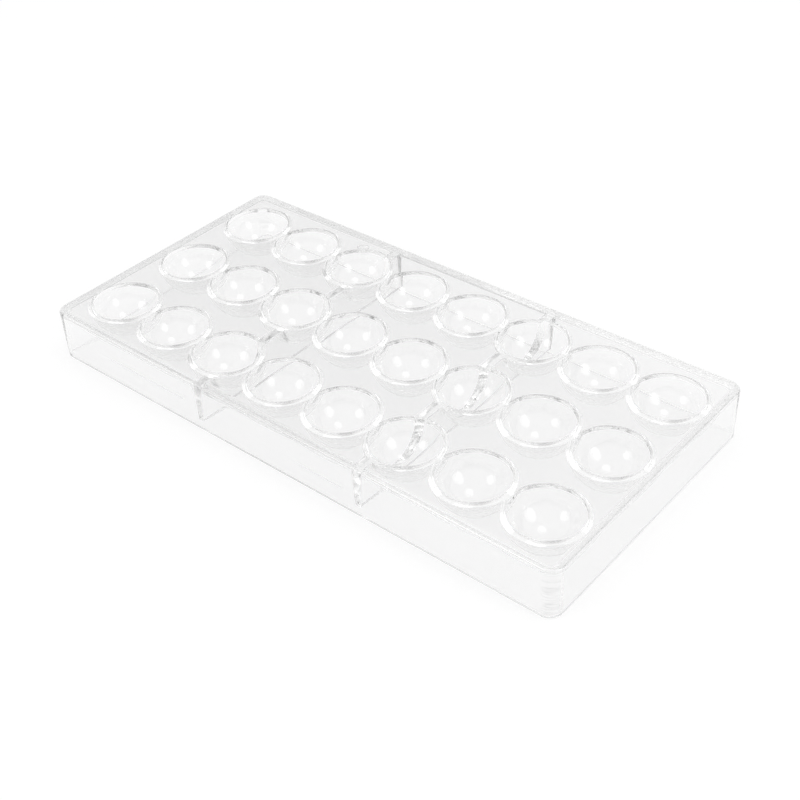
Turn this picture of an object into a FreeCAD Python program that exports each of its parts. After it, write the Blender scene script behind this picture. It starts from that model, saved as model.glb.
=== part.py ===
import FreeCAD, Part
import math
import os

import Sketcher

# A clear, rigid tray mould for filled chocolates, moulded in one piece.
# A flat plate with rows of half-round cavities stands on a skirt wall all round.
# The underside is open: the cups hang below the plate, and two cross ribs part it into three bays.
# Frame: the origin is under the middle, on the plane that the rim stands on.
# X runs along the length and Z points up, towards the side that is filled.

# The driving dimensions, in millimetres, degrees and counts: name, value, what it sets
SIZES = [
    ("overallLength", 275.0, "outside length"),
    ("overallWidth", 135.0, "outside width"),
    ("overallHeight", 24.0, "from the rim to the top of the plate"),
    ("cornerRadius", 6.0, "upright outer corners"),
    ("topEdgeRadius", 1.0, "rounding round the top of the plate"),
    ("plateThickness", 2.5, "plate between the cavities"),
    ("rimThickness", 2.4, "skirt wall where it stands"),
    ("wallDraft", 2.0, "draft inside the skirt wall, in degrees"),
    ("roofRadius", 1.5, "rounding where the walls meet the plate"),
    ("rimEdgeRadius", 0.5, "rounding along both edges of the rim"),
    ("columns", 8, "cavities along the length"),
    ("rows", 3, "cavities across the width"),
    ("columnPitch", 33.3, "from cavity to cavity along the length"),
    ("rowPitch", 42.8, "from row to row"),
    ("cavityRadius", 15.0, "half-round cavity, as deep as its radius"),
    ("cupWall", 2.2, "wall of the cup round a cavity"),
    ("ribOffset", 44.5, "from the middle of the tray to the middle of a cross rib"),
    ("ribTipThickness", 2.6, "cross rib at its lower edge"),
    ("ribDraft", 2.5, "draft on each side of a cross rib, in degrees"),
    ("ribClearance", 4.0, "from the plane of the rim up to the lower edge of a cross rib"),
    ("ribRootRadius", 0.8, "rounding along the root and the ends of a cross rib"),
]

# Worked out in the sheet from the driving dimensions: name, formula, what it sets
DERIVED = [
    ("plateUnderside", "=overallHeight - plateThickness", "height of the roof of the bays"),
    ("insideLength", "=overallLength - 2 * rimThickness", "opening at the rim, along the length"),
    ("insideWidth", "=overallWidth - 2 * rimThickness", "opening at the rim, across the width"),
    ("insideCorner", "=max(cornerRadius - rimThickness; 2 * rimEdgeRadius)", "upright inner corners"),
    ("embed", "=plateThickness / 2", "how far ribs and cups run into the plate"),
    ("cupRadius", "=cavityRadius + cupWall", "outside of a cup"),
    ("firstColumn", "=columnPitch * (columns - 1) / 2", "from the middle to the end column"),
    ("firstRow", "=rowPitch * (rows - 1) / 2", "from the middle to the outer row"),
    ("ribTop", "=overallHeight - embed", "height where the section of a rib ends"),
    ("ribTopThickness", "=ribTipThickness + 2 * (ribTop - ribClearance) * tan(ribDraft * 1 deg)", "rib there"),
]

CUTTER_ABOVE = 1.0  # how far the cavity cutter stands above the plate, in millimetres
NEAR = 1e-4  # places closer together than this, in millimetres, are the same
SAME_PITCH = -1.0  # what a pattern's list of spacings holds for a step of its own pitch


def make_sheet(doc):
    """The spreadsheet that every size comes from."""
    sheet = doc.addObject("Spreadsheet::Sheet", "sizes")
    for row, (alias, value, meaning) in enumerate(SIZES + DERIVED, start=1):
        sheet.set(f"A{row}", meaning)
        sheet.set(f"B{row}", str(value))
        sheet.setAlias(f"B{row}", alias)
    doc.recompute()
    return sheet


def size(sheet, name):
    return float(sheet.get(name))


def origin_part(body, role):
    return next(part for part in body.Origin.OriginFeatures if part.Role == role)


def sketch_on(body, name, role):
    sketch = body.newObject("Sketcher::SketchObject", name)
    sketch.AttachmentSupport = (origin_part(body, role), [""])
    sketch.MapMode = "FlatFace"
    return sketch


def tie(sketch, name, formula, *constraint):
    """Adds a constraint with a name, and sets it by a formula of the sheet's names."""
    number = sketch.addConstraint(Sketcher.Constraint(*constraint))
    sketch.renameConstraint(number, name)
    sketch.setExpression(f"Constraints.{name}", formula)


def line(sketch, start, end):
    edge = Part.LineSegment(FreeCAD.Vector(*start, 0), FreeCAD.Vector(*end, 0))
    return sketch.addGeometry(edge, False)


def arc(sketch, centre, radius, start, end):
    """A round stretch from one angle to another, in degrees, anticlockwise."""
    circle = Part.Circle(FreeCAD.Vector(*centre, 0), FreeCAD.Vector(0, 0, 1), radius)
    stretch = Part.ArcOfCircle(circle, math.radians(start), math.radians(end))
    return sketch.addGeometry(stretch, False)


def join(sketch, kind, edges):
    """Joins the end of each edge to the start of the next, all the way round."""
    for first, second in zip(edges, edges[1:] + edges[:1]):
        sketch.addConstraint(Sketcher.Constraint(kind, first, 2, second, 1))


def draw_rounded_rectangle(sketch, sheet, length, width, corner):
    """An outline centred on the origin. Its three sizes are names in the sheet."""
    x = size(sheet, length) / 2
    y = size(sheet, width) / 2
    r = size(sheet, corner)
    front = line(sketch, (r - x, -y), (x - r, -y))
    front_right = arc(sketch, (x - r, r - y), r, -90, 0)
    right = line(sketch, (x, r - y), (x, y - r))
    back_right = arc(sketch, (x - r, y - r), r, 0, 90)
    back = line(sketch, (x - r, y), (r - x, y))
    back_left = arc(sketch, (r - x, y - r), r, 90, 180)
    left = line(sketch, (-x, y - r), (-x, r - y))
    front_left = arc(sketch, (r - x, r - y), r, 180, 270)
    join(sketch, "Tangent", [front, front_right, right, back_right, back, back_left, left, front_left])
    for level in (front, back):
        sketch.addConstraint(Sketcher.Constraint("Horizontal", level))
    for upright in (right, left):
        sketch.addConstraint(Sketcher.Constraint("Vertical", upright))
    for other in (back_right, back_left, front_left):
        sketch.addConstraint(Sketcher.Constraint("Equal", front_right, other))
    sketch.addConstraint(Sketcher.Constraint("Symmetric", front_right, 3, back_left, 3, -1, 1))
    tie(sketch, "length", f"sizes.{length}", "DistanceX", left, 1, right, 1, 2 * x)
    tie(sketch, "width", f"sizes.{width}", "DistanceY", front, 1, back, 1, 2 * y)
    tie(sketch, "corner", f"sizes.{corner}", "Radius", front_right, r)


def edges_where(shape, test):
    """The names of the edges that pass a test."""
    return [f"Edge{number}" for number, edge in enumerate(shape.Edges, start=1) if test(edge)]


def lies_level(edge, height):
    box = edge.BoundBox
    return abs(box.ZMin - height) < NEAR and abs(box.ZMax - height) < NEAR


def fillet(body, name, base, edges, radius):
    """Rounds some edges of the newest feature. The radius is a name in the sheet."""
    if not edges:
        raise RuntimeError(f"{name} has no edge to round")
    rounded = body.newObject("PartDesign::Fillet", name)
    rounded.Base = (base, edges)
    rounded.setExpression("Radius", f"sizes.{radius}")
    body.Document.recompute()
    return rounded


def grown(feature, base):
    """Stops the build unless a feature adds volume to the one before it."""
    if feature.Shape.Volume <= base.Shape.Volume:
        raise RuntimeError(f"{feature.Label} adds nothing")
    return feature


def cut(feature, base):
    """Stops the build unless a feature takes volume off the one before it."""
    if feature.Shape.Volume >= base.Shape.Volume:
        raise RuntimeError(f"{feature.Label} points away from the solid and cuts nothing")
    return feature


def make_block(body, sheet):
    """The outer form: a block with rounded upright corners, its top edge rounded over."""
    outline = sketch_on(body, "OuterOutline", "XY_Plane")
    draw_rounded_rectangle(outline, sheet, "overallLength", "overallWidth", "cornerRadius")
    block = body.newObject("PartDesign::Pad", "Block")
    block.Profile = outline
    block.setExpression("Length", "sizes.overallHeight")
    body.Document.recompute()
    top = size(sheet, "overallHeight")
    edges = edges_where(block.Shape, lambda edge: lies_level(edge, top))
    return fillet(body, "TopEdge", block, edges, "topEdgeRadius")


def make_hollow(body, sheet, base):
    """The open underside: a drafted pocket up to the plate, rounded at its roof and along the rim."""
    outline = sketch_on(body, "InnerOutline", "XY_Plane")
    draw_rounded_rectangle(outline, sheet, "insideLength", "insideWidth", "insideCorner")
    hollow = body.newObject("PartDesign::Pocket", "Hollow")
    hollow.Profile = outline
    hollow.Reversed = True
    hollow.setExpression("Length", "sizes.plateUnderside")
    hollow.setExpression("TaperAngle", "-sizes.wallDraft")
    body.Document.recompute()
    cut(hollow, base)
    underside = size(sheet, "plateUnderside")
    edges = edges_where(hollow.Shape, lambda edge: lies_level(edge, underside))
    roof = fillet(body, "RoofEdge", hollow, edges, "roofRadius")
    edges = edges_where(roof.Shape, lambda edge: lies_level(edge, 0))
    return fillet(body, "RimEdges", roof, edges, "rimEdgeRadius")


def draw_rib_section(sketch, sheet):
    """The rib seen from its end: narrow along its lower edge and wider where it joins the plate."""
    middle = size(sheet, "ribOffset")
    tip = size(sheet, "ribTipThickness")
    root = size(sheet, "ribTopThickness")
    low = size(sheet, "ribClearance")
    high = size(sheet, "ribTop")
    corners = [
        (middle - tip / 2, low),
        (middle + tip / 2, low),
        (middle + root / 2, high),
        (middle - root / 2, high),
    ]
    lower, right, upper, left = (line(sketch, a, b) for a, b in zip(corners, corners[1:] + corners[:1]))
    join(sketch, "Coincident", [lower, right, upper, left])
    for level in (lower, upper):
        sketch.addConstraint(Sketcher.Constraint("Horizontal", level))
    tie(sketch, "low", "sizes.ribClearance", "DistanceY", -1, 1, lower, 1, low)
    tie(sketch, "high", "sizes.ribTop", "DistanceY", -1, 1, upper, 1, high)
    tie(sketch, "tip", "sizes.ribTipThickness", "DistanceX", lower, 1, lower, 2, tip)
    tie(sketch, "root", "sizes.ribTopThickness", "DistanceX", upper, 2, upper, 1, root)
    low_start = "sizes.ribOffset - sizes.ribTipThickness / 2"
    high_start = "sizes.ribOffset - sizes.ribTopThickness / 2"
    tie(sketch, "lowStart", low_start, "DistanceX", -1, 1, lower, 1, middle - tip / 2)
    tie(sketch, "highStart", high_start, "DistanceX", -1, 1, upper, 2, middle - root / 2)


def on_rib_side(edge, sheet):
    """Does an edge lie all along one side of a rib, away from its lower edge?"""
    middle = size(sheet, "ribOffset")
    low = size(sheet, "ribClearance")
    slope = math.tan(math.radians(size(sheet, "ribDraft")))
    if lies_level(edge, low):
        return False
    for share in (0.0, 0.5, 1.0):
        at = edge.valueAt(edge.FirstParameter + share * (edge.LastParameter - edge.FirstParameter))
        half = size(sheet, "ribTipThickness") / 2 + (at.z - low) * slope
        if abs(abs(abs(at.x) - middle) - half) > NEAR:
            return False
    return True


def make_ribs(body, sheet, base):
    """Two drafted ribs across the underside, run into the walls and the plate and rounded there."""
    section = sketch_on(body, "RibSection", "XZ_Plane")
    draw_rib_section(section, sheet)
    rib = body.newObject("PartDesign::Pad", "Rib")
    rib.Profile = section
    rib.Midplane = True
    rib.setExpression("Length", "sizes.insideWidth")
    body.Document.recompute()
    grown(rib, base)
    pair = body.newObject("PartDesign::Mirrored", "RibPair")
    pair.Originals = [rib]
    pair.MirrorPlane = (origin_part(body, "YZ_Plane"), [""])
    body.Tip = pair
    body.Document.recompute()
    grown(pair, rib)
    edges = edges_where(pair.Shape, lambda edge: on_rib_side(edge, sheet))
    return fillet(body, "RibRoots", pair, edges, "ribRootRadius")


def cavity_sketch(body, name):
    """A sketch upright through the first cavity of the front row, with its origin on the top of the plate."""
    sketch = sketch_on(body, name, "XZ_Plane")
    sketch.setExpression("AttachmentOffset.Base.x", "-sizes.firstColumn")
    sketch.setExpression("AttachmentOffset.Base.y", "sizes.overallHeight")
    sketch.setExpression("AttachmentOffset.Base.z", "sizes.firstRow")
    return sketch


def draw_cup_section(sketch, sheet):
    """Half the section of a cup, solid inside. It ends within the plate."""
    r = size(sheet, "cupRadius")
    depth = size(sheet, "embed")
    edge = math.sqrt(r * r - depth * depth)
    round_side = arc(sketch, (0, 0), r, -90, -math.degrees(math.asin(depth / r)))
    flat = line(sketch, (edge, -depth), (0, -depth))
    axis = line(sketch, (0, -depth), (0, -r))
    join(sketch, "Coincident", [round_side, flat, axis])
    sketch.addConstraint(Sketcher.Constraint("Coincident", round_side, 3, -1, 1))
    sketch.addConstraint(Sketcher.Constraint("Horizontal", flat))
    sketch.addConstraint(Sketcher.Constraint("PointOnObject", axis, 1, -2))
    sketch.addConstraint(Sketcher.Constraint("PointOnObject", axis, 2, -2))
    tie(sketch, "radius", "sizes.cupRadius", "Radius", round_side, r)
    tie(sketch, "depth", "sizes.embed", "DistanceY", flat, 2, -1, 1, depth)


def draw_cavity_section(sketch, sheet):
    """Half the section of the cutter for a cavity: a half-round with a short neck above the plate."""
    r = size(sheet, "cavityRadius")
    round_side = arc(sketch, (0, 0), r, -90, 0)
    neck = line(sketch, (r, 0), (r, CUTTER_ABOVE))
    top = line(sketch, (r, CUTTER_ABOVE), (0, CUTTER_ABOVE))
    axis = line(sketch, (0, CUTTER_ABOVE), (0, -r))
    join(sketch, "Coincident", [round_side, neck, top, axis])
    sketch.addConstraint(Sketcher.Constraint("Coincident", round_side, 3, -1, 1))
    sketch.addConstraint(Sketcher.Constraint("PointOnObject", neck, 1, -1))
    sketch.addConstraint(Sketcher.Constraint("Vertical", neck))
    sketch.addConstraint(Sketcher.Constraint("Horizontal", top))
    sketch.addConstraint(Sketcher.Constraint("PointOnObject", axis, 1, -2))
    sketch.addConstraint(Sketcher.Constraint("PointOnObject", axis, 2, -2))
    tie(sketch, "radius", "sizes.cavityRadius", "Radius", round_side, r)
    sketch.addConstraint(Sketcher.Constraint("DistanceY", neck, 1, neck, 2, CUTTER_ABOVE))


def revolve(body, kind, name, profile):
    turned = body.newObject(kind, name)
    turned.Profile = profile
    turned.ReferenceAxis = (profile, ["V_Axis"])
    turned.Angle = 360
    body.Document.recompute()
    return turned


def repeat_over_grid(body, name, original):
    """Copies a feature of the first cavity to every column and row."""
    grid = body.newObject("PartDesign::LinearPattern", name)
    grid.Originals = [original]
    grid.Direction = (origin_part(body, "X_Axis"), [""])
    grid.Mode = "Spacing"
    grid.setExpression("Offset", "sizes.columnPitch")
    grid.setExpression("Occurrences", "sizes.columns")
    grid.Direction2 = (origin_part(body, "Y_Axis"), [""])
    grid.Mode2 = "Spacing"
    grid.setExpression("Offset2", "sizes.rowPitch")
    grid.setExpression("Occurrences2", "sizes.rows")
    body.Document.recompute()
    grid.Spacings2 = [SAME_PITCH] * (grid.Occurrences2 - 1)
    body.Tip = grid
    body.Document.recompute()
    return grid


def make_cups(body, sheet, base):
    """The cups below the plate, still solid, in columns and rows."""
    section = cavity_sketch(body, "CupSection")
    draw_cup_section(section, sheet)
    cup = grown(revolve(body, "PartDesign::Revolution", "Cup", section), base)
    return grown(repeat_over_grid(body, "Cups", cup), cup)


def make_cavities(body, sheet, base):
    """The half-round cavities, cut down into the cups from the top of the plate."""
    section = cavity_sketch(body, "CavitySection")
    draw_cavity_section(section, sheet)
    cavity = cut(revolve(body, "PartDesign::Groove", "Cavity", section), base)
    return cut(repeat_over_grid(body, "Cavities", cavity), cavity)


def make_mould(doc, sheet):
    body = doc.addObject("PartDesign::Body", "Mould")
    body.Label = "mould"
    shell = make_hollow(body, sheet, make_block(body, sheet))
    ribbed = make_ribs(body, sheet, shell)
    make_cavities(body, sheet, make_cups(body, sheet, ribbed))
    return body


def check(doc, bodies):
    """Stops the build if anything failed, or if a body is not one closed, valid solid."""
    for item in doc.Objects:
        if {"Invalid", "Error"} & set(item.State):
            raise RuntimeError(f"{item.Label} failed: {item.State}")
    for body in bodies:
        shape = body.Shape
        if shape.isNull() or not shape.isValid() or len(shape.Solids) != 1:
            raise RuntimeError(f"{body.Label} is not one valid solid")


def main():
    doc = FreeCAD.newDocument("ChocolateMould")
    sheet = make_sheet(doc)
    bodies = [make_mould(doc, sheet)]
    doc.recompute()
    check(doc, bodies)
    os.makedirs("parts", exist_ok=True)
    for body in bodies:
        body.Shape.exportStep(f"parts/{body.Label}.step")
        box = body.Shape.BoundBox
        print(body.Label, "volume", round(body.Shape.Volume, 1), "faces", len(body.Shape.Faces))
        print("box", *(round(v, 3) for v in (box.XMin, box.YMin, box.ZMin, box.XMax, box.YMax, box.ZMax)))


main()
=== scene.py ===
from math import cos, pi, radians, sin, tan

import bpy
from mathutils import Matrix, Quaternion, Vector


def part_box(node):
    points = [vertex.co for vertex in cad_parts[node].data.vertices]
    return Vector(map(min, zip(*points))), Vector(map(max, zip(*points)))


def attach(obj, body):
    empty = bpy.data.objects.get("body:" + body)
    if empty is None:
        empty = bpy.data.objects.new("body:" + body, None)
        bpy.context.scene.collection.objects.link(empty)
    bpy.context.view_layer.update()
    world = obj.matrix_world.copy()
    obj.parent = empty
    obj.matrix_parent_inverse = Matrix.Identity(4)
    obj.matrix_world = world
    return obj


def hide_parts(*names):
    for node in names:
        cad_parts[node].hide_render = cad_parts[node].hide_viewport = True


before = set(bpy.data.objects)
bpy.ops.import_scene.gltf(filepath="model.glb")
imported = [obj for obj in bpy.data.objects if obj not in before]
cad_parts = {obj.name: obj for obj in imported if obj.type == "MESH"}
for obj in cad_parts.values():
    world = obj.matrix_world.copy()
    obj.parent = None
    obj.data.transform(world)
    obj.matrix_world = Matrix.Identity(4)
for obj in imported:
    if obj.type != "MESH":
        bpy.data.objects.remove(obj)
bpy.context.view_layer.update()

# everything is in metres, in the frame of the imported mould
trayLow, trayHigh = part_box("mould")
trayTop = trayHigh.z
near = 0.00001  # places closer than this are the same


def pickNothing():
    bpy.ops.object.select_all(action="DESELECT")


def activate(piece):
    pickNothing()
    piece.select_set(True)
    bpy.context.view_layer.objects.active = piece


def settle(piece):
    # puts the place, turn and scale of a new primitive into its mesh
    activate(piece)
    bpy.ops.object.transform_apply(location=True, rotation=True, scale=True)


def addBlock(name, low, high):
    low, high = Vector(low), Vector(high)
    bpy.ops.mesh.primitive_cube_add(size=1, location=(low + high) / 2, scale=high - low)
    block = bpy.context.object
    block.name = name
    settle(block)
    return block


def editWhere(piece, test, kind="EDGE"):
    # opens a piece for editing with only the edges or vertices that pass the test selected
    activate(piece)
    bpy.ops.object.mode_set(mode="EDIT")
    bpy.ops.mesh.select_mode(type=kind)
    bpy.ops.mesh.select_all(action="DESELECT")
    bpy.ops.object.mode_set(mode="OBJECT")
    mesh = piece.data
    count = 0
    for part in (mesh.edges if kind == "EDGE" else mesh.vertices):
        ends = [mesh.vertices[i].co for i in part.vertices] if kind == "EDGE" else [part.co]
        if test(*ends):
            part.select = True
            count += 1
    if not count:
        raise RuntimeError(f"nothing to edit on {piece.name}")
    bpy.ops.object.mode_set(mode="EDIT")


def roundEdges(piece, test, size, steps, measured="OFFSET"):
    editWhere(piece, test)
    bpy.ops.mesh.bevel(offset=size, segments=steps, offset_type=measured, affect="EDGES")
    bpy.ops.object.mode_set(mode="OBJECT")


def applyModifier(piece, kind, **settings):
    activate(piece)
    modifier = piece.modifiers.new(kind.title(), kind)
    for name, value in settings.items():
        setattr(modifier, name, value)
    bpy.ops.object.modifier_apply(modifier=modifier.name)


def cutAway(piece, tool):
    applyModifier(piece, "BOOLEAN", operation="DIFFERENCE", solver="EXACT", object=tool)
    bpy.data.objects.remove(tool)


def aimAt(item, target, roll=0.0):
    # turns a lamp or camera towards a point, with its own upright turned by roll
    look = (Vector(target) - item.location).to_track_quat("-Z", "Y")
    item.rotation_mode = "QUATERNION"
    item.rotation_quaternion = look @ Quaternion((0, 0, 1), roll)


# camera, fitted to the corners of the tray and the rims of the cavities
view = {
    "eye": (0.30753, -0.33412, 0.34535),
    "aim": (0.01532, -0.00591, 0.00514),
    "roll": radians(-2.932),
    "lens": 58.233,  # millimetres, on a sensor 36 wide
}
bpy.ops.object.camera_add(location=view["eye"])
camera = bpy.context.object
camera.name = "camera"
camera.data.lens = view["lens"]
camera.data.sensor_width = 36
camera.data.clip_start = 0.01
camera.data.clip_end = 50
aimAt(camera, view["aim"], view["roll"])
bpy.context.scene.camera = camera
print("camera placed")


# studio light: three soft boxes, brightest at the middle, each seen as a spot in every cavity
softBoxes = {
    "boxLeftSpots": {"place": (0.555, 0.001, 0.337), "size": (0.24, 0.32)},
    "boxRightSpots": {"place": (-0.354, -0.797, 0.586), "size": (0.38, 0.38)},
    "boxLowSpots": {"place": (0.233, 0.125, 1.059), "size": (0.34, 0.34)},
}
boxParts = {  # share of the size, brightness, and whether it is seen through the tray
    "core": (0.42, 8.0, False),
    "middle": (0.72, 2.2, False),
    "cloth": (1.2, 1.1, True),
}
for name, box in softBoxes.items():
    for part, (share, level, seenThrough) in boxParts.items():
        wide, tall = (share * side for side in box["size"])
        bpy.ops.object.light_add(type="AREA", location=box["place"])
        lamp = bpy.context.object
        lamp.name = f"{name}.{part}"
        lamp.data.shape = "ELLIPSE"
        lamp.data.size, lamp.data.size_y = wide, tall
        lamp.data.energy = level * pi * pi * wide * tall / 4  # a level of 1 is as bright as the room
        lamp.visible_camera = False
        lamp.visible_transmission = seenThrough
        aimAt(lamp, (0, 0, trayTop))
print("lamps placed")


def newNode(tree, kind, inputs=None, **settings):
    node = tree.nodes.new(kind)
    for name, value in settings.items():
        setattr(node, name, value)
    for name, value in (inputs or {}).items():
        if isinstance(value, bpy.types.NodeSocket):
            tree.links.new(value, node.inputs[name])
        else:
            node.inputs[name].default_value = value
    return node


def addRamp(tree, source, stops):
    ramp = newNode(tree, "ShaderNodeValToRGB", {"Fac": source})
    points = ramp.color_ramp.elements
    while len(points) < len(stops):
        points.new(0.5)
    for point, (place, grey) in zip(points, stops):
        point.position = place
        point.color = (grey, grey, grey, 1)
    return ramp.outputs["Color"]


# room: a white tent with a greyer band low round it, and one soft opening that the plate mirrors
room = {
    "opening": (radians(144), radians(29)),  # round from the length, and up
    "shade": [(0.0, 1.0), (0.78, 1.0), (0.90, 0.85), (0.97, 0.63), (1.0, 0.52)],  # by nearness to the opening
    "band": [(0.0, 1.0), (0.05, 0.95), (0.12, 0.6), (0.30, 0.6), (0.45, 1.0), (1.0, 1.0)],  # by height
    "gap": (0.2, 0.75),  # the band ends here, by nearness to the opening's side
    "strength": 1.0,
}
world = bpy.context.scene.world or bpy.data.worlds.new("room")
bpy.context.scene.world = world
world.use_nodes = True
tree = world.node_tree
tree.nodes.clear()
direction = newNode(tree, "ShaderNodeTexCoord").outputs["Generated"]
turn, lift = room["opening"]
opening = (cos(lift) * cos(turn), cos(lift) * sin(turn), sin(lift))
towards = {0: direction, 1: opening}
nearness = newNode(tree, "ShaderNodeVectorMath", towards, operation="DOT_PRODUCT")
shade = addRamp(tree, nearness.outputs["Value"], room["shade"])
height = newNode(tree, "ShaderNodeSeparateXYZ", {"Vector": direction}).outputs["Z"]
band = addRamp(tree, height, room["band"])
facing = {0: direction, 1: (cos(turn), sin(turn), 0)}
side = newNode(tree, "ShaderNodeVectorMath", facing, operation="DOT_PRODUCT")
ends = {"Value": side.outputs["Value"], "From Min": room["gap"][0], "From Max": room["gap"][1]}
clearing = newNode(tree, "ShaderNodeMapRange", ends, interpolation_type="SMOOTHSTEP").outputs[0]
band = newNode(tree, "ShaderNodeMix", {0: clearing, 6: band, 7: (1, 1, 1, 1)}, data_type="RGBA").outputs[2]
both = {0: 1.0, 6: band, 7: shade}
sweep = newNode(tree, "ShaderNodeMix", both, data_type="RGBA", blend_type="MULTIPLY").outputs[2]
seen = newNode(tree, "ShaderNodeLightPath").outputs["Is Camera Ray"]
white = newNode(tree, "ShaderNodeBackground", {"Color": (1, 1, 1, 1), "Strength": 1.0})
around = newNode(tree, "ShaderNodeBackground", {"Color": sweep, "Strength": room["strength"]})
mix = newNode(tree, "ShaderNodeMixShader", {"Fac": seen, 1: around.outputs[0], 2: white.outputs[0]})
newNode(tree, "ShaderNodeOutputWorld", {"Surface": mix.outputs[0]})
print("room made")


# floor: a white sheet, mostly its own white so that it stays plain, with a little of the shadow
sheet = {"side": 6.0, "gap": 0.0003, "ownWhite": 0.85, "white": 0.98}
bpy.ops.mesh.primitive_plane_add(size=sheet["side"], location=(0, 0, trayLow.z - sheet["gap"]))
floor = bpy.context.object
floor.name = "floor"
settle(floor)
paper = bpy.data.materials.new("paper")
paper.use_nodes = True
tree = paper.node_tree
tree.nodes.clear()
path = newNode(tree, "ShaderNodeLightPath").outputs
shown = path["Is Camera Ray"]
for kind in ("Is Glossy Ray", "Is Transmission Ray"):
    shown = newNode(tree, "ShaderNodeMath", {0: shown, 1: path[kind]}, operation="MAXIMUM").outputs[0]
share = newNode(tree, "ShaderNodeMath", {0: shown, 1: sheet["ownWhite"]}, operation="MULTIPLY")
lit = newNode(tree, "ShaderNodeBsdfDiffuse", {"Color": (sheet["white"],) * 3 + (1,)})
own = newNode(tree, "ShaderNodeEmission", {"Color": (1, 1, 1, 1), "Strength": 1.0})
mix = newNode(tree, "ShaderNodeMixShader", {"Fac": share.outputs[0], 1: lit.outputs[0], 2: own.outputs[0]})
newNode(tree, "ShaderNodeOutputMaterial", {"Surface": mix.outputs[0]})
floor.data.materials.append(paper)
print("floor made")


# the tray: one clear moulding, with its walls, ribs, cups and cavities
tray = {
    "cornerRadius": 0.006,
    "topEdgeRadius": 0.001,
    "plate": 0.0025,
    "rim": 0.0024,
    "wallDraft": radians(2.0),
    "roofRadius": 0.0015,
    "rimEdgeRadius": 0.0005,
    "columns": 8,
    "rows": 3,
    "columnPitch": 0.0333,
    "rowPitch": 0.0428,
    "cavityRadius": 0.015,
    "cupWall": 0.0022,
    "lipRadius": 0.00025,
    "ribOffset": 0.0445,
    "ribTip": 0.0026,
    "ribDraft": radians(2.5),
    "ribClearance": 0.004,
    "ribRoot": 0.0011,  # across the rounding
    "beyond": 0.001,  # how far a cutting shape reaches past what it cuts
    # how many flats make up each rounding
    "roundSteps": 96,
    "heightSteps": 28,
    "cornerSteps": 12,
    "topEdgeSteps": 5,
    "insideCornerSteps": 10,
    "roofSteps": 6,
    "ribRootSteps": 4,
    "rimEdgeSteps": 3,
    "lipSteps": 6,
    "smoothBelow": radians(25),
}
underside = trayTop - tray["plate"]


def isUpright(a, b):
    return abs(a.x - b.x) < near and abs(a.y - b.y) < near


def makeOutside():
    block = addBlock("tray", trayLow, trayHigh)
    roundEdges(block, isUpright, tray["cornerRadius"], tray["cornerSteps"])
    atTop = lambda a, b: min(a.z, b.z) > trayTop - near
    roundEdges(block, atTop, tray["topEdgeRadius"], tray["topEdgeSteps"])
    return block


def makeHollow():
    # the space under the plate, narrower towards its roof
    lean = tan(tray["wallDraft"])
    x = trayHigh.x - tray["rim"] + tray["beyond"] * lean
    y = trayHigh.y - tray["rim"] + tray["beyond"] * lean
    hollow = addBlock("hollow", (-x, -y, trayLow.z - tray["beyond"]), (x, y, underside))
    roundEdges(hollow, isUpright, tray["cornerRadius"] - tray["rim"], tray["insideCornerSteps"])
    narrowing = (underside - trayLow.z + tray["beyond"]) * lean
    editWhere(hollow, lambda a: a.z > underside - near, "VERT")
    bpy.ops.transform.resize(value=(1 - narrowing / x, 1 - narrowing / y, 1))
    bpy.ops.object.mode_set(mode="OBJECT")
    atRoof = lambda a, b: min(a.z, b.z) > underside - near
    roundEdges(hollow, atRoof, tray["roofRadius"], tray["roofSteps"])
    return hollow


def addRibs(hollow):
    # each rib is a slot cut out of the hollow, wider at its top
    low = trayLow.z + tray["ribClearance"]
    high = underside + tray["beyond"]
    halfTip = tray["ribTip"] / 2
    halfTop = halfTip + (high - low) * tan(tray["ribDraft"])
    for middle in (-tray["ribOffset"], tray["ribOffset"]):
        rib = addBlock("rib", (middle - halfTip, trayLow.y, low), (middle + halfTip, trayHigh.y, high))
        editWhere(rib, lambda a: a.z > high - near, "VERT")
        bpy.ops.transform.resize(value=(halfTop / halfTip, 1, 1))
        bpy.ops.object.mode_set(mode="OBJECT")
        cutAway(hollow, rib)

    def onRibSide(a, b):
        if max(a.z, b.z) < low + near:
            return False
        for p in (a, b):
            half = halfTip + (p.z - low) * tan(tray["ribDraft"])
            if abs(abs(abs(p.x) - tray["ribOffset"]) - half) > near:
                return False
        return True

    roundEdges(hollow, onRibSide, tray["ribRoot"], tray["ribRootSteps"], "WIDTH")


def addRoundGrid(name, radius, top, start=0, stride=1):
    # one half-round, repeated over all rows and every column, or every other one
    bpy.ops.mesh.primitive_uv_sphere_add(
        segments=tray["roundSteps"], ring_count=tray["heightSteps"], radius=radius,
        location=(
            tray["columnPitch"] * (start - (tray["columns"] - 1) / 2),
            -tray["rowPitch"] * (tray["rows"] - 1) / 2,
            trayTop,
        ),
    )
    ball = bpy.context.object
    ball.name = name
    settle(ball)
    editWhere(ball, lambda a: True, "VERT")
    bpy.ops.mesh.bisect(plane_co=(0, 0, top), plane_no=(0, 0, 1), clear_outer=True, use_fill=True)
    bpy.ops.object.mode_set(mode="OBJECT")
    for count, step in (
        (tray["columns"] // stride, (tray["columnPitch"] * stride, 0, 0)),
        (tray["rows"], (0, tray["rowPitch"], 0)),
    ):
        applyModifier(
            ball, "ARRAY", count=count, use_relative_offset=False,
            use_constant_offset=True, constant_offset_displace=step,
        )
    return ball


hollow = makeHollow()
addRibs(hollow)
print("hollow and ribs made")
cupRadius = tray["cavityRadius"] + tray["cupWall"]
for start in (0, 1):  # neighbouring cups run into each other, so every other column is taken at a time
    cutAway(hollow, addRoundGrid("cups", cupRadius, trayTop - tray["plate"] / 2, start, 2))
print("cups made")
body = makeOutside()
cutAway(body, hollow)
print("outside and hollow joined")


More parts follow.
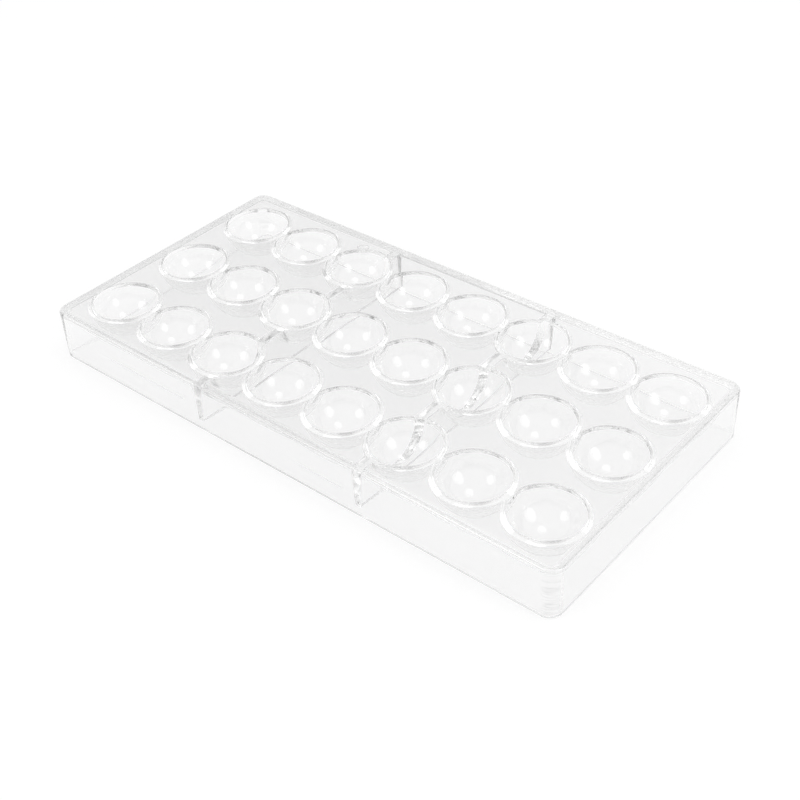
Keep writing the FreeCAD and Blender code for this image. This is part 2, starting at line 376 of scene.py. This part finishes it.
def makeCavityCutter():
    cutter = addRoundGrid("cavities", tray["cavityRadius"], trayTop)
    editWhere(cutter, lambda a: a.z > trayTop - near, "VERT")
    bpy.ops.mesh.select_mode(type="FACE")
    bpy.ops.mesh.extrude_region_move(TRANSFORM_OT_translate={"value": (0, 0, tray["beyond"])})
    bpy.ops.object.mode_set(mode="OBJECT")
    return cutter


cutAway(body, makeCavityCutter())
print("cavities cut")


def onLip(a, b):
    if min(a.z, b.z) < trayTop - near or max(a.z, b.z) > trayTop + near:
        return False
    for p in (a, b):
        column = round(p.x / tray["columnPitch"] + (tray["columns"] - 1) / 2)
        row = round(p.y / tray["rowPitch"] + (tray["rows"] - 1) / 2)
        x = (column - (tray["columns"] - 1) / 2) * tray["columnPitch"]
        y = (row - (tray["rows"] - 1) / 2) * tray["rowPitch"]
        if abs(Vector((p.x - x, p.y - y)).length - tray["cavityRadius"]) > tray["cavityRadius"] * 0.002:
            return False
    return True


def onRimEdge(a, b):
    return max(a.z, b.z) < trayLow.z + near


roundEdges(body, onLip, tray["lipRadius"], tray["lipSteps"])
roundEdges(body, onRimEdge, tray["rimEdgeRadius"], tray["rimEdgeSteps"])
activate(body)
bpy.ops.object.shade_smooth_by_angle(angle=tray["smoothBelow"])
applyModifier(body, "WEIGHTED_NORMAL", keep_sharp=True, weight=80)
print("edges rounded")

# clear moulded polycarbonate, with the marks that its steel mould leaves
plastic = {
    "color": 0.98,
    "polish": 0.06,
    "duller": (0.02, (90, 90, 90)),  # how much less polished it is in places, and how close these lie
    "skin": (0.0004, 0.0002),  # how deep under the outside a wall's marks start, and are whole
    # the next four are heights, and how close the marks lie along x, y and z
    "flow": (0.00003, (38, 38, 60)),  # long soft waves
    "scuff": (0.00006, (45, 45, 900)),  # fine lines along the walls
    "toolMark": (0.00015, (30, 30, 330)),  # lines across the upright corners
    "rootMark": (0.00025, (900, 900, 900)),  # pitting where the ribs meet the walls
    "moulded": 0.0002,  # height of the round mark and of the long lines
    "markShade": 0.12,  # how much less light the tool marks and the round mark let through
    "roundMark": (-0.0595, 0.0575, 0.0028),  # place and radius
    "longLines": ((-0.110, -0.054, 0.0121), (0.004, 0.037, 0.0103)),  # from, to and height up the front wall
    "paintedLightEnd": 0.03,  # painted light: how much lighter the front wall's outside is painted from the right rib on
    "speck": (0.1016, -0.0427, 0.0226),  # just under the lip of a cavity
    "speckSize": 0.0004,
    "speckJags": (1500, 1500, 1500),
}


def addMath(tree, kind, first, second=0.0, third=0.0):
    return newNode(tree, "ShaderNodeMath", {0: first, 1: second, 2: third}, operation=kind).outputs[0]


def addSum(tree, terms):
    total = terms[0]
    for term in terms[1:]:
        total = addMath(tree, "ADD", total, term)
    return total


def addProduct(tree, *factors):
    total = factors[0]
    for factor in factors[1:]:
        total = addMath(tree, "MULTIPLY", total, factor)
    return total


def addStep(tree, value, low, high):
    # 0 below low, 1 above high and smooth between, or the other way round where low is the larger
    ends = {"Value": value, "From Min": low, "From Max": high}
    return newNode(tree, "ShaderNodeMapRange", ends, interpolation_type="SMOOTHSTEP").outputs[0]


def addNoise(tree, place, closeness, detail=2.0):
    # runs from about -0.5 to 0.5, so that it has no step where a mask ends it
    scaled = newNode(tree, "ShaderNodeVectorMath", {0: place, 1: closeness}, operation="MULTIPLY").outputs[0]
    cloud = newNode(tree, "ShaderNodeTexNoise", {"Vector": scaled, "Scale": 1.0, "Detail": detail}).outputs[0]
    return addMath(tree, "SUBTRACT", cloud, 0.5)


def addDistance(tree, x, y, middle):
    across = addMath(tree, "SUBTRACT", x, middle[0])
    along = addMath(tree, "SUBTRACT", y, middle[1])
    return addMath(tree, "SQRT", addSum(tree, [addMath(tree, "MULTIPLY", d, d) for d in (across, along)]))


def makePlastic():
    clear = bpy.data.materials.new("clearPolycarbonate")
    clear.use_nodes = True
    tree = clear.node_tree
    shader = tree.nodes["Principled BSDF"]
    place = newNode(tree, "ShaderNodeTexCoord").outputs["Object"]
    x, y, z = newNode(tree, "ShaderNodeSeparateXYZ", {"Vector": place}).outputs
    sideways, depthways = addMath(tree, "ABSOLUTE", x), addMath(tree, "ABSOLUTE", y)

    # where the marks are
    cornerX = trayHigh.x - tray["cornerRadius"]
    cornerY = trayHigh.y - tray["cornerRadius"]
    onCorner = addProduct(
        tree,
        addStep(tree, sideways, cornerX - 0.001, cornerX + 0.001),
        addStep(tree, depthways, cornerY - 0.001, cornerY + 0.001),
        addStep(tree, z, trayTop - 0.0012, trayTop - 0.002),
    )
    starts, whole = plastic["skin"]
    outerX = addStep(tree, sideways, trayHigh.x - starts, trayHigh.x - whole)
    outerY = addStep(tree, depthways, trayHigh.y - starts, trayHigh.y - whole)
    outerFront = addStep(tree, y, trayLow.y + starts, trayLow.y + whole)
    onWall = addMath(tree, "MAXIMUM", outerX, outerY)
    fromRib = addMath(tree, "ABSOLUTE", addMath(tree, "SUBTRACT", sideways, tray["ribOffset"]))
    onRoot = addProduct(
        tree,
        addStep(tree, fromRib, 0.0035, 0.0020),
        addStep(tree, depthways, cornerY, cornerY + 0.002),
        addStep(tree, z, underside - 0.004, underside - 0.001),
    )

    # how high they stand
    height, closeness = plastic["flow"]
    flow = addProduct(tree, addNoise(tree, place, closeness), height)
    height, closeness = plastic["scuff"]
    scuff = addProduct(tree, addNoise(tree, place, closeness, 3.0), onWall, height)
    height, closeness = plastic["toolMark"]
    across = addNoise(tree, place, closeness, 1.0)
    toolMark = addProduct(tree, across, onCorner, height)
    height, closeness = plastic["rootMark"]
    rootMark = addProduct(tree, addNoise(tree, place, closeness, 1.0), onRoot, height)
    marks = [flow, scuff, toolMark, rootMark]
    far = addDistance(tree, x, y, plastic["roundMark"])
    radius = plastic["roundMark"][2]
    upHere = addStep(tree, z, underside - 0.001, underside)
    ring = addProduct(tree, addStep(tree, far, radius + 0.0005, radius), upHere)
    marks.append(addProduct(tree, ring, plastic["moulded"]))
    for start, end, height in plastic["longLines"]:
        offLine = addMath(tree, "ABSOLUTE", addMath(tree, "SUBTRACT", z, height))
        line = addProduct(
            tree,
            addStep(tree, offLine, 0.0005, 0.0001),
            addStep(tree, x, start, start + 0.02),
            addStep(tree, x, end + 0.0003, end),
            outerFront,
        )
        marks.append(addProduct(tree, line, plastic["moulded"]))
    bump = newNode(tree, "ShaderNodeBump", {"Height": addSum(tree, marks), "Distance": 1.0})
    tree.links.new(bump.outputs["Normal"], shader.inputs["Normal"])

    # less polished in soft patches, on the walls and on the corners
    duller, closeness = plastic["duller"]
    patches = addProduct(tree, addNoise(tree, place, closeness, 3.0), duller)
    worn = addProduct(tree, addMath(tree, "MAXIMUM", onWall, onCorner), duller)
    tree.links.new(addSum(tree, [patches, worn, plastic["polish"]]), shader.inputs["Roughness"])

    # the marks let less light through, and there is one dark speck in the plate
    toolLine = addProduct(tree, addStep(tree, addMath(tree, "ABSOLUTE", across), 0.035, 0.0), onCorner)
    offRing = addMath(tree, "ABSOLUTE", addMath(tree, "SUBTRACT", far, radius))
    ringLine = addProduct(tree, addStep(tree, offRing, 0.0004, 0.0), upHere)
    markShade = addProduct(tree, addMath(tree, "MAXIMUM", toolLine, ringLine), plastic["markShade"])
    fromSpeck = {0: place, 1: plastic["speck"]}
    offSpeck = newNode(tree, "ShaderNodeVectorMath", fromSpeck, operation="DISTANCE").outputs["Value"]
    jags = addProduct(tree, addNoise(tree, place, plastic["speckJags"]), plastic["speckSize"])
    ragged = addMath(tree, "ADD", offSpeck, jags)
    clean = addStep(tree, ragged, plastic["speckSize"] * 0.8, plastic["speckSize"] * 1.2)
    # painted light: the front wall's outside is painted lighter from the right rib on
    pastRib = addStep(tree, x, tray["ribOffset"] - 0.001, tray["ribOffset"] + 0.006)
    paintedLightEnd = addProduct(tree, outerFront, pastRib, plastic["paintedLightEnd"])
    marked = addMath(tree, "SUBTRACT", addMath(tree, "ADD", paintedLightEnd, 1.0), markShade)
    shade = addProduct(tree, clean, marked, plastic["color"])
    grey = newNode(tree, "ShaderNodeCombineColor", {0: shade, 1: shade, 2: shade}).outputs[0]
    tree.links.new(grey, shader.inputs["Base Color"])
    shader.inputs["IOR"].default_value = 1.585
    shader.inputs["Transmission Weight"].default_value = 1.0
    return clear


clear = makePlastic()
body.data.materials.append(clear)
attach(body, "root")
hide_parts("mould")
print("tray finished:", len(body.data.polygons), "faces")

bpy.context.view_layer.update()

bpy.context.scene.view_settings.view_transform = "Standard"
# light crosses many clear walls before it leaves the tray
paths = bpy.context.scene.cycles
paths.max_bounces = paths.glossy_bounces = paths.transmission_bounces = 48
